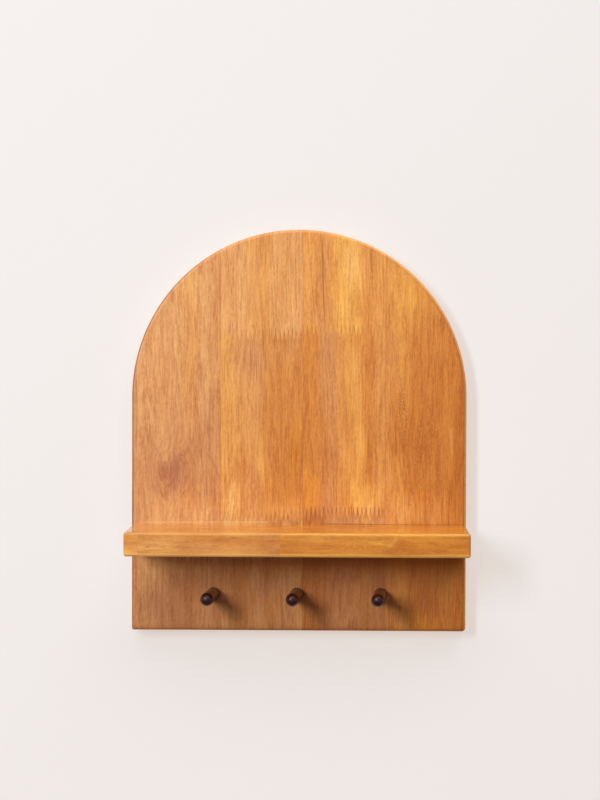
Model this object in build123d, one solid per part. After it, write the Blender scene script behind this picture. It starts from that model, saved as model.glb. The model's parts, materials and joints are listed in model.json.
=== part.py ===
from build123d import *
import math
import os

os.makedirs("parts", exist_ok=True)

# Wall shelf with an arched backboard, a ledge and three pegs. Millimetres.
# The origin is the centre of the arch, on the back face that lies on the wall.
# +X is to the right of someone facing the shelf, +Z is up and the front faces -Y.

# ---- backboard ----
board_width = 300.0
board_straight_height = 210.0      # bottom edge up to the centre of the arch
board_thickness = 20.0
board_front_bevel = 1.5            # 45 degrees, round the front outline
board_back_bevel = 0.6             # 45 degrees, round the back outline

edge_strip_width = 5.5             # what is left of one more stave, on the left edge
stave_width = 74.0                 # the two in the centre, the outer ones take what is left
centre_seam_offset = 3.5           # the glue line between those two, from the centre line

# ---- finger joints between the blocks of a stave ----
finger_pitch = 3.8
finger_length = 10.0
lower_joint_above_shelf = 6.5      # in the centre left stave, from the top of the shelf
middle_block_length = 164.0        # between the lower and the upper joint
joint_stagger = 4.5                # the centre right stave has its joints this much higher

# ---- shelf, as long as the backboard is wide ----
shelf_depth = 80.0                 # in front of the backboard
shelf_thickness = 21.0
shelf_top_height = 95.0            # above the bottom edge of the backboard
shelf_arris = 2.0
shelf_end_block_length = 12.4      # along the front edge, from the left end to the first joint
shelf_middle_block_length = 123.2

# ---- pegs ----
peg_diameter = 12.0
peg_projection = 55.0              # in front of the backboard, along the peg
wood_behind_peg = 5.0              # between the bottom of the hole and the back face
peg_tenon_diameter = 10.0          # the thinner end that is glued into the backboard
peg_shoulder_gap = 0.1             # between the shoulder's nearest side and the backboard
peg_bottom_gap = 0.2
peg_tip_flat_radius = 0.8          # what the rounding of the tip leaves flat
peg_glue_gap = 0.1                 # radial, between tenon and hole
peg_inset = 75.0                   # outer pegs, from the edges of the backboard
peg_row_offset = -1.2              # the whole row, from the centre line
peg_height = 33.0                  # above the bottom edge of the backboard
peg_lean = 3.8                     # degrees, the tips lean to the left
peg_rise = 0.8                     # degrees, the tips point up

# ---- screws through the backboard into the shelf ----
shelf_screw_length = 50.0
shelf_screw_head_radius = 4.0
shelf_screw_shank_radius = 2.0
shelf_screw_root_radius = 1.6      # threaded part, measured at the root of the thread
shelf_screw_sink = 0.3             # the head lies this far below the back face

# ---- keyhole hanger plates, let in flush with the back ----
hanger_inset = 50.0                # plate centres, from the edges of the backboard
hanger_rise = 40.0                 # plate centres, above the centre of the arch
plate_length = 45.0
plate_width = 16.0
plate_thickness = 1.5
plate_recess_gap = 0.2
keyhole_entry_radius = 4.5
keyhole_slot_width = 5.0
keyhole_travel = 10.0              # entry centre up to the seat of the wall screw
plate_screw_inset = 4.5            # from the ends of the plate
head_pocket_depth = 7.0            # behind the plate
head_pocket_gap = 1.0              # round the keyhole, on every side

plate_screw_length = 12.0
plate_screw_head_radius = 2.8
plate_screw_shank_radius = 1.4
plate_screw_root_radius = 1.1
plate_screw_shank_length = 4.0

# ---- shared by both kinds of screw ----
screw_hole_gap = 0.1               # radial
screw_rim = 0.3                    # straight edge of the head
screw_tip_length = 4.0
recess_width = 0.3                 # of the cross recess, as shares of the head's radius
recess_reach = 0.6
recess_depth = 0.45

# ---- worked out from the sizes above ----
half_width = board_width / 2
bottom_z = -board_straight_height
top_z = half_width
front_y = -board_thickness
shelf_front_y = front_y - shelf_depth
shelf_top_z = bottom_z + shelf_top_height
shelf_bottom_z = shelf_top_z - shelf_thickness
shelf_screw_shank_length = board_thickness - shelf_screw_sink
peg_hole_depth = board_thickness - wood_behind_peg
peg_z = bottom_z + peg_height
peg_radius = peg_diameter / 2
peg_tenon_radius = peg_tenon_diameter / 2
peg_pitch = half_width - peg_inset
peg_tilt = math.radians(math.hypot(peg_lean, peg_rise))
peg_shoulder = peg_radius * math.tan(peg_tilt) + peg_shoulder_gap
lower_joint_z = shelf_top_z + lower_joint_above_shelf
upper_joint_z = lower_joint_z + middle_block_length
hanger_x = half_width - hanger_inset
entry_z = hanger_rise - keyhole_travel / 2
seat_z = hanger_rise + keyhole_travel / 2
plate_screw_reach = plate_length / 2 - plate_screw_inset
past = 10.0                        # how far cutting tools run past the faces they cut


def stave_seams():
    """X of the glue lines between the staves, from left to right."""
    inner = [centre_seam_offset + n * stave_width for n in (-1, 0, 1)]
    return [-half_width + edge_strip_width] + inner


def finger_wave(start, end, centre, first_side):
    """Points (along, across) of the zigzag between two blocks, from start to end."""
    count = math.ceil((end - start) / (finger_pitch / 2)) + 1
    side = first_side
    points = []
    for n in range(count):
        points.append((start + n * finger_pitch / 2, centre + side * finger_length / 2))
        side = -side
    return points


def slab(points, low_y, high_y):
    """A prism between two Y planes over a closed outline of (x, z) points."""
    outline = Polyline(*[(x, high_y, z) for x, z in points], close=True)
    face = Face(Wire(outline.edges()))
    return extrude(face, amount=high_y - low_y, dir=(0, -1, 0))


def flat(points, low_z, high_z):
    """A prism between two Z planes over a closed outline of (x, y) points."""
    outline = Polyline(*[(x, y, low_z) for x, y in points], close=True)
    face = Face(Wire(outline.edges()))
    return extrude(face, amount=high_z - low_z, dir=(0, 0, 1))


def out_of_back(x, z, sink=0.0):
    """A place on the back face whose own +Z points out of the back."""
    return Plane(origin=(x, -sink, z), x_dir=(-1, 0, 0), z_dir=(0, 1, 0)).location


def box_span(low, high):
    """A box between two corners."""
    size = [b - a for a, b in zip(low, high)]
    middle = [(a + b) / 2 for a, b in zip(low, high)]
    return Pos(*middle) * Box(*size)


def countersunk_screw(length, head_radius, shank_radius, root_radius, shank_length):
    """A countersunk wood screw, head up at Z 0, with a cross recess."""
    profile = [
        (0, 0),
        (head_radius, 0),
        (head_radius, -screw_rim),
        (shank_radius, -screw_rim - (head_radius - shank_radius)),
        (shank_radius, -shank_length),
        (root_radius, -shank_length - (shank_radius - root_radius)),
        (root_radius, -length + screw_tip_length),
        (0, -length),
    ]
    outline = Polyline(*[(r, 0, z) for r, z in profile], close=True)
    body = revolve(Face(Wire(outline.edges())), Axis.Z)
    arm = Box(
        2 * recess_reach * head_radius,
        recess_width * head_radius,
        2 * recess_depth * head_radius,
    )
    return body - arm - Rot(0, 0, 90) * arm


def screw_room(length, head_radius, shank_radius, root_radius, shank_length):
    """The room that a countersunk screw takes, with its gap, head up at Z 0."""
    head = head_radius + screw_hole_gap
    shank = shank_radius + screw_hole_gap
    root = root_radius + screw_hole_gap
    bottom = -length - screw_hole_gap
    profile = [
        (0, past),
        (head, past),
        (head, -screw_rim),
        (shank, -screw_rim - (head - shank)),
        (shank, -shank_length),
        (root, -shank_length - (shank - root)),
        (root, bottom),
        (0, bottom),
    ]
    outline = Polyline(*[(r, 0, z) for r, z in profile], close=True)
    return revolve(Face(Wire(outline.edges())), Axis.Z)


def shelf_screw_places():
    """Where the shelf screws enter the back, in the middle of each stave, from left to right."""
    z = (shelf_top_z + shelf_bottom_z) / 2
    sides = stave_seams() + [half_width]
    middles = [(left + right) / 2 for left, right in zip(sides, sides[1:])]
    return [out_of_back(x, z, shelf_screw_sink) for x in middles]


def shelf_screw():
    return countersunk_screw(
        shelf_screw_length,
        shelf_screw_head_radius,
        shelf_screw_shank_radius,
        shelf_screw_root_radius,
        shelf_screw_shank_length,
    )


def shelf_screw_room():
    return screw_room(
        shelf_screw_length,
        shelf_screw_head_radius,
        shelf_screw_shank_radius,
        shelf_screw_root_radius,
        shelf_screw_shank_length,
    )


def plate_screw():
    return countersunk_screw(
        plate_screw_length,
        plate_screw_head_radius,
        plate_screw_shank_radius,
        plate_screw_root_radius,
        plate_screw_shank_length,
    )


def plate_screw_room():
    return screw_room(
        plate_screw_length,
        plate_screw_head_radius,
        plate_screw_shank_radius,
        plate_screw_root_radius,
        plate_screw_shank_length,
    )


def plate_screw_places(x):
    return [out_of_back(x, hanger_rise + side * plate_screw_reach) for side in (-1, 1)]


def round_ended_slab(x, low_z, high_z, width, low_y, high_y):
    """A flat bar with half-round ends, upright, between two Y planes."""
    middle_z = (low_z + high_z) / 2
    thickness = high_y - low_y
    shape = extrude(SlotOverall(high_z - low_z, width, rotation=90), amount=thickness)
    place = Plane(origin=(x, low_y, middle_z), x_dir=(-1, 0, 0), z_dir=(0, 1, 0)).location
    return place * shape


def plate_outline(x, gap, low_y, high_y):
    half = plate_length / 2 + gap
    low_z = hanger_rise - half
    high_z = hanger_rise + half
    return round_ended_slab(x, low_z, high_z, plate_width + 2 * gap, low_y, high_y)


def keyhole(x, low_y, high_y):
    """The entry circle and the slot above it."""
    place = Plane(origin=(x, low_y, entry_z), x_dir=(-1, 0, 0), z_dir=(0, 1, 0)).location
    entry = place * extrude(Circle(keyhole_entry_radius), amount=high_y - low_y)
    slot_top = seat_z + keyhole_slot_width / 2
    slot_bottom = entry_z - keyhole_slot_width / 2
    return entry + round_ended_slab(x, slot_bottom, slot_top, keyhole_slot_width, low_y, high_y)


def head_pocket(x):
    """The pocket in which the wall screw's head slides behind the plate."""
    reach = keyhole_entry_radius + head_pocket_gap
    floor_y = -plate_thickness - head_pocket_depth
    return round_ended_slab(x, entry_z - reach, seat_z + reach, 2 * reach, floor_y, past)


def keyhole_plate(x):
    plate = plate_outline(x, 0.0, -plate_thickness, 0.0)
    plate -= keyhole(x, -plate_thickness - past, past)
    for place in plate_screw_places(x):
        plate -= place * plate_screw_room()
    return plate


def peg_xs():
    return [peg_row_offset + n * peg_pitch for n in (-1, 0, 1)]


def peg_place(x):
    """The peg's axis where it leaves the board, its own +Z pointing out of the front."""
    lean = math.radians(peg_lean)
    rise = math.radians(peg_rise)
    direction = (
        -math.sin(lean) * math.cos(rise),
        -math.cos(lean) * math.cos(rise),
        math.sin(rise),
    )
    return Plane(origin=(x, front_y, peg_z), x_dir=(1, 0, 0), z_dir=direction).location


def peg(x):
    """A dowel with a rounded tip, and a tenon on the end that is glued in."""
    rod = Pos(0, 0, peg_shoulder) * extrude(Circle(peg_radius), amount=peg_projection - peg_shoulder)
    tip = rod.faces().sort_by(Axis.Z)[-1]
    rod = fillet(tip.edges(), peg_radius - peg_tip_flat_radius)
    tenon_length = peg_hole_depth - peg_bottom_gap + peg_shoulder
    tenon = extrude(Circle(peg_tenon_radius), amount=tenon_length)
    return peg_place(x) * (rod + Pos(0, 0, peg_shoulder - tenon_length) * tenon)


def peg_hole(x):
    radius = peg_tenon_radius + peg_glue_gap
    bore = Pos(0, 0, -peg_hole_depth) * extrude(Circle(radius), amount=peg_hole_depth + past)
    return peg_place(x) * bore


def whole_board():
    """The backboard before it is thought of as staves, with every hole and recess."""
    straight = box_span((-half_width, front_y, bottom_z), (half_width, 0, 0))
    place = Plane(origin=(0, front_y, 0), x_dir=(-1, 0, 0), z_dir=(0, 1, 0)).location
    disc = place * extrude(Circle(half_width), amount=board_thickness)
    board = straight + disc
    front = board.faces().sort_by(Axis.Y)[0]
    board = chamfer(front.edges(), board_front_bevel)
    back = board.faces().sort_by(Axis.Y)[-1]
    board = chamfer(back.edges(), board_back_bevel)
    for x in peg_xs():
        board -= peg_hole(x)
    for place in shelf_screw_places():
        board -= place * shelf_screw_room()
    for x in (-hanger_x, hanger_x):
        board -= plate_outline(x, plate_recess_gap, -plate_thickness, past)
        board -= head_pocket(x)
        for place in plate_screw_places(x):
            board -= place * plate_screw_room()
    return board


def stave_blocks(board, left, right, joints):
    """The blocks of one stave, from the top down, cut at finger joints at the given heights."""
    low_y = front_y - past
    blocks = []
    upper = [(left, top_z + past), (right, top_z + past)]
    for joint_z in joints:
        wave = finger_wave(left, right, joint_z, 1)
        wave[-1] = wave_end(wave, right)
        outline = upper + wave[::-1]
        blocks.append(board & slab(outline, low_y, past))
        upper = wave
    outline = upper + [(right, bottom_z - past), (left, bottom_z - past)]
    blocks.append(board & slab(outline, low_y, past))
    return blocks


def wave_end(wave, limit):
    """The last point of a zigzag, moved back along its own slope to end at the limit."""
    (a, p), (b, q) = wave[-2], wave[-1]
    share = (limit - a) / (b - a)
    return (limit, p + share * (q - p))


def backboard():
    board = whole_board()
    seams = stave_seams()
    low = [upper_joint_z, lower_joint_z]
    high = [joint_z + joint_stagger for joint_z in low]
    pieces = {}
    pieces["board_edge_strip"], = stave_blocks(board, -half_width - past, seams[0], [])
    pieces["board_left_stave"], = stave_blocks(board, seams[0], seams[1], [])
    names = ["top_block", "middle_block", "bottom_block"]
    for name, block in zip(names, stave_blocks(board, seams[1], seams[2], low)):
        pieces["board_centre_left_" + name] = block
    for name, block in zip(names, stave_blocks(board, seams[2], seams[3], high)):
        pieces["board_centre_right_" + name] = block
    pieces["board_right_stave"], = stave_blocks(board, seams[3], half_width + past, [])
    return pieces


def shelf_joint(front_x):
    """The zigzag of a shelf joint, seen from above, whose line on the front edge is front_x."""
    wave = finger_wave(shelf_front_y, front_y, front_x + finger_length / 2, -1)
    wave[-1] = wave_end(wave, front_y)
    return [(x, y) for y, x in wave]


def shelf():
    low = (-half_width, shelf_front_y, shelf_bottom_z)
    board = box_span(low, (half_width, front_y, shelf_top_z))
    glued_face = board.faces().sort_by(Axis.Y)[-1]
    free_edges = [edge for edge in board.edges() if edge not in glued_face.edges()]
    board = fillet(free_edges, shelf_arris)
    for place in shelf_screw_places():
        board -= place * shelf_screw_room()
    first_x = -half_width + shelf_end_block_length
    first = shelf_joint(first_x)
    second = shelf_joint(first_x + shelf_middle_block_length)
    left_side = [(-half_width - past, shelf_front_y), (-half_width - past, front_y)]
    right_side = [(half_width + past, shelf_front_y), (half_width + past, front_y)]
    low_z = shelf_bottom_z - past
    high_z = shelf_top_z + past
    return {
        "shelf_left_block": board & flat(left_side + first[::-1], low_z, high_z),
        "shelf_middle_block": board & flat(first + second[::-1], low_z, high_z),
        "shelf_right_block": board & flat(second + right_side[::-1], low_z, high_z),
    }


def fittings():
    pieces = {}
    for name, x in zip(("left", "middle", "right"), peg_xs()):
        pieces["peg_" + name] = peg(x)
    pieces["shelf_screws"] = Compound(
        children=[place * shelf_screw() for place in shelf_screw_places()]
    )
    for name, x in zip(("left", "right"), (-hanger_x, hanger_x)):
        pieces["keyhole_plate_" + name] = keyhole_plate(x)
    pieces["keyhole_plate_screws"] = Compound(
        children=[place * plate_screw() for x in (-hanger_x, hanger_x) for place in plate_screw_places(x)]
    )
    return pieces


for name, piece in {**backboard(), **shelf(), **fittings()}.items():
    export_step(piece, "parts/" + name + ".step")
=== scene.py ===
import json
import math
from typing import NamedTuple

import bmesh
import bpy
from bpy.props import FloatProperty, FloatVectorProperty, PointerProperty
from mathutils import Matrix, Vector, noise


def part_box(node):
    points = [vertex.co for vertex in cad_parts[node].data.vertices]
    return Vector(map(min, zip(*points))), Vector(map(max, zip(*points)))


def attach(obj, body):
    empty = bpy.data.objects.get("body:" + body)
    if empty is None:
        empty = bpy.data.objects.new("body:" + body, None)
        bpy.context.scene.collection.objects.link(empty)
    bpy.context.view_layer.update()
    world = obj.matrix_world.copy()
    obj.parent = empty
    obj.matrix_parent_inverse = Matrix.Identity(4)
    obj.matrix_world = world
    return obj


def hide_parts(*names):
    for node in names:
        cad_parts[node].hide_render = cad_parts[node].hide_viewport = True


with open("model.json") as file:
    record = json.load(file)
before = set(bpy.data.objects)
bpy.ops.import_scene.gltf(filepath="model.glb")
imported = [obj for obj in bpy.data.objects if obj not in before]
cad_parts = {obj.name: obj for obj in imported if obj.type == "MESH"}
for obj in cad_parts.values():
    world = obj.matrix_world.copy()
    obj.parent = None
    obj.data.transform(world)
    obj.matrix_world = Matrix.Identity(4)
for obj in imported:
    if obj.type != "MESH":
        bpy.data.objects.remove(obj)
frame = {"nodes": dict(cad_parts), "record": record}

bl_info = {
    "name": "Arched Peg Shelf",
    "version": (1, 0, 0),
    "blender": (4, 5, 0),
    "location": "3D View > Sidebar > Peg Shelf",
    "description": "Dresses a wall shelf with an arched pine backboard, a ledge and three dark pegs",
    "category": "Object",
}

MM = 0.001

# ---- places read from the frame ----

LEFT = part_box("board_edge_strip")[0].x
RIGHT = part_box("board_right_stave")[1].x
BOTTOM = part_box("board_left_stave")[0].z
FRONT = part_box("board_left_stave")[0].y
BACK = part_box("board_left_stave")[1].y
HALF_WIDTH = (RIGHT - LEFT) / 2
SHELF_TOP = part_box("shelf_middle_block")[1].z
SHELF_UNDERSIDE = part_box("shelf_middle_block")[0].z
SHELF_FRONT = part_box("shelf_middle_block")[0].y
SEAMS = (
    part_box("board_left_stave")[1].x,
    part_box("board_centre_left_middle_block")[1].x,
    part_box("board_centre_right_middle_block")[1].x,
)
MOUNTS = {mount["name"]: mount for mount in frame["record"]["mounts"]}
PEGS = ("peg_left", "peg_middle", "peg_right")
PLATES = ("keyhole_plate_left", "keyhole_plate_right")
SCREWS = ("keyhole_plate_screws", "shelf_screws")


def linear(red, green, blue):
    """A colour written in 8-bit screen values, as the linear colour that shaders take."""
    def channel(value):
        share = value / 255
        return share / 12.92 if share <= 0.04045 else ((share + 0.055) / 1.055) ** 2.4
    return channel(red), channel(green), channel(blue)


# ---- sizes and colours that can be changed ----


class PegShelfSizes(bpy.types.PropertyGroup):
    """Sizes that belong to the finish and not to the construction."""

    front_rounding: FloatProperty(
        name="Front rounding",
        description="Radius to which the front edge of the backboard is sanded",
        default=2.7 * MM, min=2.6 * MM, max=4.0 * MM, subtype="DISTANCE", unit="LENGTH",
    )
    back_rounding: FloatProperty(
        name="Back rounding",
        description="Radius to which the back edge of the backboard is sanded",
        default=1.1 * MM, min=1.05 * MM, max=3.0 * MM, subtype="DISTANCE", unit="LENGTH",
    )
    left_corner: FloatProperty(
        name="Left corner",
        description="Radius of the bottom left corner of the backboard, seen from the front",
        default=1.8 * MM, min=0.5 * MM, max=8.0 * MM, subtype="DISTANCE", unit="LENGTH",
    )
    right_corner: FloatProperty(
        name="Right corner",
        description="Radius of the bottom right corner of the backboard, seen from the front",
        default=3.4 * MM, min=0.5 * MM, max=8.0 * MM, subtype="DISTANCE", unit="LENGTH",
    )
    shelf_rounding: FloatProperty(
        name="Shelf rounding",
        description="Radius to which the edges of the shelf are sanded",
        default=2.12 * MM, min=2.1 * MM, max=5.0 * MM, subtype="DISTANCE", unit="LENGTH",
    )
    sanding: FloatProperty(
        name="Sanding",
        description="Share by which the hand-sanded roundings vary along their length",
        default=0.25, min=0.0, max=0.4, subtype="FACTOR",
    )
    peg_waist: FloatProperty(
        name="Peg waist",
        description="How far the middle of a peg is worn in below its radius",
        default=0.25 * MM, min=0.05 * MM, max=1.0 * MM, subtype="DISTANCE", unit="LENGTH",
    )


class PegShelfColours(bpy.types.PropertyGroup):
    """Stains and platings."""

    stain: FloatVectorProperty(
        name="Stain",
        description="Tint laid over all of the stained pine, white for none",
        default=(1.0, 1.0, 1.0), min=0, max=1, subtype="COLOR",
    )
    peg_tip: FloatVectorProperty(
        name="Peg tip",
        description="Espresso stain on the rounded tips of the pegs",
        default=linear(40, 19, 16), min=0, max=1, subtype="COLOR",
    )
    peg_shaft: FloatVectorProperty(
        name="Peg shaft",
        description="Espresso stain where it is worn to a red brown on the pegs",
        default=linear(86, 28, 20), min=0, max=1, subtype="COLOR",
    )
    zinc: FloatVectorProperty(
        name="Zinc",
        description="Bright zinc plating of the hanger plates",
        default=linear(206, 208, 210), min=0, max=1, subtype="COLOR",
    )
    yellow_zinc: FloatVectorProperty(
        name="Yellow zinc",
        description="Yellow zinc plating of the screws",
        default=linear(222, 192, 120), min=0, max=1, subtype="COLOR",
    )


class PegShelfStage(bpy.types.PropertyGroup):
    """The wall, the floor and the light, none of which belong to the shelf."""

    wall: FloatVectorProperty(
        name="Wall",
        description="Colour of the wall and the floor",
        default=linear(244, 239, 237), min=0, max=1, subtype="COLOR",
    )
    window_level: FloatProperty(
        name="Window level",
        description="Share of a white wall's brightness that comes from the window",
        default=0.5, min=0, max=2,
    )
    skylight_level: FloatProperty(
        name="Skylight level",
        description="Share of a white wall's brightness that comes from above",
        default=0.42, min=0, max=2,
    )
    room_level: FloatProperty(
        name="Room level",
        description="Share of a white wall's brightness that comes from the room all round",
        default=0.03, min=0, max=2,
    )
    floor_level: FloatProperty(
        name="Floor level",
        description="How much of the light that falls on the floor it sends back up",
        default=0.28, min=0, max=1, subtype="FACTOR",
    )
    shadow_depth: FloatVectorProperty(
        name="Shadow depth",
        description="How much of a shadow the wall shows to the camera in red, green and blue",
        default=(0.27, 0.34, 0.4), min=0, max=1,
    )
    floor_drop: FloatProperty(
        name="Floor drop",
        description="Height at which the shelf hangs above the floor",
        default=1.4, min=0.3, max=3, subtype="DISTANCE", unit="LENGTH",
    )


# ---- node trees ----


class Graph:
    """Short calls that add nodes to a material and return their output sockets."""

    def __init__(self, tree):
        self.tree = tree

    def add(self, kind, **settings):
        node = self.tree.nodes.new(kind)
        for name, value in settings.items():
            setattr(node, name, value)
        return node

    def feed(self, socket, value):
        if isinstance(value, bpy.types.NodeSocket):
            self.tree.links.new(value, socket)
        else:
            socket.default_value = value

    def math(self, operation, *values, clamp=False):
        node = self.add("ShaderNodeMath", operation=operation, use_clamp=clamp)
        for socket, value in zip(node.inputs, values):
            self.feed(socket, value)
        return node.outputs[0]

    def plus(self, first, second, clamp=False):
        return self.math("ADD", first, second, clamp=clamp)

    def minus(self, first, second):
        return self.math("SUBTRACT", first, second)

    def times(self, first, second):
        return self.math("MULTIPLY", first, second)

    def scaled(self, value, factor, offset):
        return self.math("MULTIPLY_ADD", value, factor, offset)

    def vector(self, operation, *values):
        node = self.add("ShaderNodeVectorMath", operation=operation)
        for socket, value in zip(node.inputs, values):
            self.feed(socket, value)
        return node.outputs["Value" if operation in ("LENGTH", "DOT_PRODUCT") else "Vector"]

    def place(self):
        """Where the surface is, in millimetres in the shelf's own frame."""
        here = self.add("ShaderNodeTexCoord").outputs["Object"]
        return self.vector("MULTIPLY", here, (1 / MM, 1 / MM, 1 / MM))

    def parts(self, vector):
        node = self.add("ShaderNodeSeparateXYZ")
        self.feed(node.inputs[0], vector)
        return node.outputs

    def join(self, x, y, z):
        node = self.add("ShaderNodeCombineXYZ")
        for socket, value in zip(node.inputs, (x, y, z)):
            self.feed(socket, value)
        return node.outputs[0]

    def noise(self, where, size, detail=2.0, roughness=0.5):
        """Noise about 0.5 whose features are about size = (x, y, z) millimetres across."""
        node = self.add("ShaderNodeTexNoise", noise_dimensions="3D")
        self.feed(node.inputs["Vector"], self.vector("DIVIDE", where, size))
        node.inputs["Scale"].default_value = 1.0
        node.inputs["Detail"].default_value = detail
        node.inputs["Roughness"].default_value = roughness
        return node.outputs[0]

    def span(self, value, low, high, to_low=0.0, to_high=1.0, smooth=False):
        """Value from low..high mapped to to_low..to_high and held there."""
        kind = "SMOOTHSTEP" if smooth else "LINEAR"
        node = self.add("ShaderNodeMapRange", interpolation_type=kind, clamp=True)
        for socket, number in zip(node.inputs, (value, low, high, to_low, to_high)):
            self.feed(socket, number)
        return node.outputs[0]

    def ramp(self, value, stops):
        """A colour ramp over stops = (value, colour) in rising order."""
        low, high = stops[0][0], stops[-1][0]
        node = self.add("ShaderNodeValToRGB")
        self.feed(node.inputs[0], self.span(value, low, high))
        bands = node.color_ramp.elements
        for place, _ in stops[1:-1]:
            bands.new((place - low) / (high - low))
        for band, (_, colour) in zip(bands, stops):
            band.color = (*colour, 1)
        return node.outputs[0]

    def mix(self, share, first, second, blend="MIX"):
        node = self.add("ShaderNodeMix", data_type="RGBA", blend_type=blend)
        self.feed(node.inputs[0], share)
        for socket, value in zip((node.inputs[6], node.inputs[7]), (first, second)):
            self.feed(socket, (*value, 1) if isinstance(value, tuple) else value)
        return node.outputs[2]

    def spot(self, face, centre, reach):
        """1 at centre, falling softly to 0 at reach, both (across, along) on a face."""
        away = self.vector("SUBTRACT", face, (centre[0], 0, centre[1]))
        away = self.vector("DIVIDE", away, (reach[0], 1, reach[1]))
        return self.span(self.vector("LENGTH", away), 1.0, 0.0, smooth=True)

    def stroke(self, face, start, end, bow, width):
        """1 on a line from start to end that bows to its left, falling to 0 at width."""
        run = Vector(end) - Vector(start)
        unit = run / run.length_squared
        side = Vector((-run.y, run.x)).normalized()
        away = self.vector("SUBTRACT", face, (start[0], 0, start[1]))
        along = self.vector("DOT_PRODUCT", away, (unit.x, 0, unit.y))
        across = self.vector("DOT_PRODUCT", away, (side.x, 0, side.y))
        arch = self.times(along, self.minus(1, along))
        across = self.math("ABSOLUTE", self.scaled(arch, -4 * bow, across))
        line = self.span(across, width, 0.2 * width, smooth=True)
        return self.times(line, self.span(arch, 0.0, 0.09))

    def bump(self, height, distance):
        node = self.add("ShaderNodeBump")
        self.feed(node.inputs["Height"], height)
        node.inputs["Distance"].default_value = distance
        return node.outputs[0]


def new_material(name):
    """A material, the graph of its nodes, and its shader."""
    material = bpy.data.materials.new(name)
    material.use_nodes = True
    return material, Graph(material.node_tree), material.node_tree.nodes["Principled BSDF"]


# ---- stained pine ----


class Patch(NamedTuple):
    """A soft-edged place in the wood, in millimetres across and along the grain."""

    tone: tuple
    strength: float
    centre: tuple
    reach: tuple


class Stroke(NamedTuple):
    """A drawn line in the wood, in millimetres across and along the grain."""

    tone: tuple
    strength: float
    start: tuple
    end: tuple
    bow: float
    width: float


class Timber(NamedTuple):
    """How one block of pine grew and took the stain, with the painted light and shade of some patches,
    strokes and edges.
    """

    bands: tuple                 # (millimetres across the grain, tone), in rising order
    patches: tuple = ()
    strokes: tuple = ()
    knots: tuple = ()            # (centre, reach) round which the grain swerves
    joints: tuple = ()           # (start of the zigzag, its middle, how dark its glue is)
    flecks: tuple = ()           # (strength, centre, reach) of speckled places
    heart: tuple = (40, 95)      # the middle of the growth rings, across the grain
    ring: float = 3.4            # width of a growth ring
    wash: tuple = (1.0, 1.0, 1.0)    # what the stain makes of red, green and blue
    arris: tuple = linear(202, 136, 74)    # tone of the top front edge of the shelf: worn stain that also paints its highlight's strength


PALE = linear(242, 180, 112)
HONEY = linear(230, 163, 102)
STRAW = linear(242, 176, 92)
AMBER = linear(226, 153, 82)
TOFFEE = linear(219, 146, 84)
COPPER = linear(212, 134, 66)
RUST = linear(204, 124, 55)
CHESTNUT = linear(192, 110, 48)
ROSE = linear(212, 142, 92)
PLUM = linear(182, 110, 78)
GOLD = linear(224, 146, 58)
EMBER = linear(208, 126, 42)
BARK = linear(150, 84, 44)
RUSSET = linear(196, 120, 74)
# painted shadow colour for the corners at the shelf
SHADOW_BROWN = linear(186, 104, 4)
# pale worn wood with a painted highlight, on the right of the rim
BARE_WOOD_AND_HIGHLIGHT = linear(255, 192, 128)
DUSK = linear(138, 84, 66)
# painted shade by height: darker towards the bottom, deepest under the shelf and along the bottom edge,
# and less red just above the shelf
SHADE_BY_HEIGHT = (                       # (height, what painted shade leaves of the colour there)
    (-210, (0.78, 0.67, 0.56)),
    (-204, (0.92, 0.89, 0.93)),
    (-184, (0.86, 0.83, 0.87)),
    (-166, (0.93, 0.9, 0.92)),
    (-136, (0.93, 0.89, 0.88)),
    (-113, (0.84, 0.94, 1.02)),
    (-96, (0.88, 0.91, 0.9)),
    (-50, (0.92, 0.93, 0.92)),
    (10, (0.98, 0.98, 1.0)),
    (80, (1.0, 1.0, 1.0)),
)


def shade(level):
    """What a level of darkness leaves of red, green and blue: stain darkens towards red."""
    return level, level ** 1.7, level ** 2.1


FINGER_PITCH = 3.8
FINGER_LENGTH = 10.0
TIGHT_FIT = (-50, -20)    # across the board, between these the finger joints open up a little

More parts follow.
